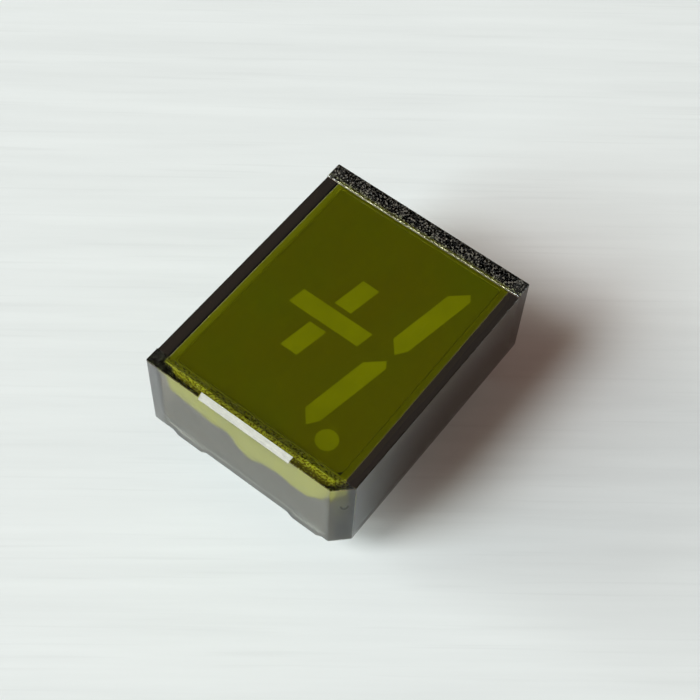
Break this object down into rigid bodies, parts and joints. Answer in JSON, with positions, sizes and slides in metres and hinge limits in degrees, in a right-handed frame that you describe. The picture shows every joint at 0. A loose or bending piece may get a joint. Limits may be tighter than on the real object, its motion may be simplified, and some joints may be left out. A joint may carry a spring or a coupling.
{
  "type": "five-segment led display",
  "caption": "Plus-or-minus-one overflow LED display with a decimal point, in a smoke-tinted cap, for plugging or soldering into a circuit board.",
  "frame": {"origin": "middle of the footprint, at the level of the pin tips", "axes": "+X across the digit to its right, +Y up the digit, +Z out of the window"},
  "size_m": [0.015, 0.0188, 0.0104],
  "materials": {
    "smoke_cap": "smoke-tinted clear moulding, polished window between two spark-eroded ridges",
    "block_plastic": "pale filled moulding with a dark front",
    "green_resin": "yellow-green diffusing casting resin",
    "seal_resin": "pale grey casting resin, self-levelled",
    "board_laminate": "bare laminate",
    "tinned_pin": "bright tin plate, drawn lengthways",
    "chip_crystal": "sawn crystal",
    "bond_gold": "bright drawn wire"
  },
  "bodies": {
    "root": {"cap": "smoke_cap", "reflector": "block_plastic", "side_resin": "green_resin", "carrier_board": "board_laminate", "rear_seal": "seal_resin", "light_bar_minus": "green_resin", "light_bar_plus_upper": "green_resin", "light_bar_plus_lower": "green_resin", "light_bar_one_upper": "green_resin", "light_bar_one_lower": "green_resin", "light_bar_point": "green_resin", "led_chip_1": "chip_crystal", "led_chip_2": "chip_crystal", "led_chip_3": "chip_crystal", "led_chip_4": "chip_crystal", "led_chip_5": "chip_crystal", "led_chip_6": "chip_crystal", "led_chip_7": "chip_crystal", "led_chip_8": "chip_crystal", "led_chip_9": "chip_crystal", "bond_wire_1": "bond_gold", "bond_wire_2": "bond_gold", "bond_wire_3": "bond_gold", "bond_wire_4": "bond_gold", "bond_wire_5": "bond_gold", "bond_wire_6": "bond_gold", "bond_wire_7": "bond_gold", "bond_wire_8": "bond_gold", "bond_wire_9": "bond_gold", "pin_1": "tinned_pin", "pin_2": "tinned_pin", "pin_3": "tinned_pin", "pin_4": "tinned_pin", "pin_5": "tinned_pin", "pin_6": "tinned_pin", "pin_7": "tinned_pin", "pin_8": "tinned_pin", "pin_9": "tinned_pin", "pin_10": "tinned_pin"}
  },
  "joints": []
}
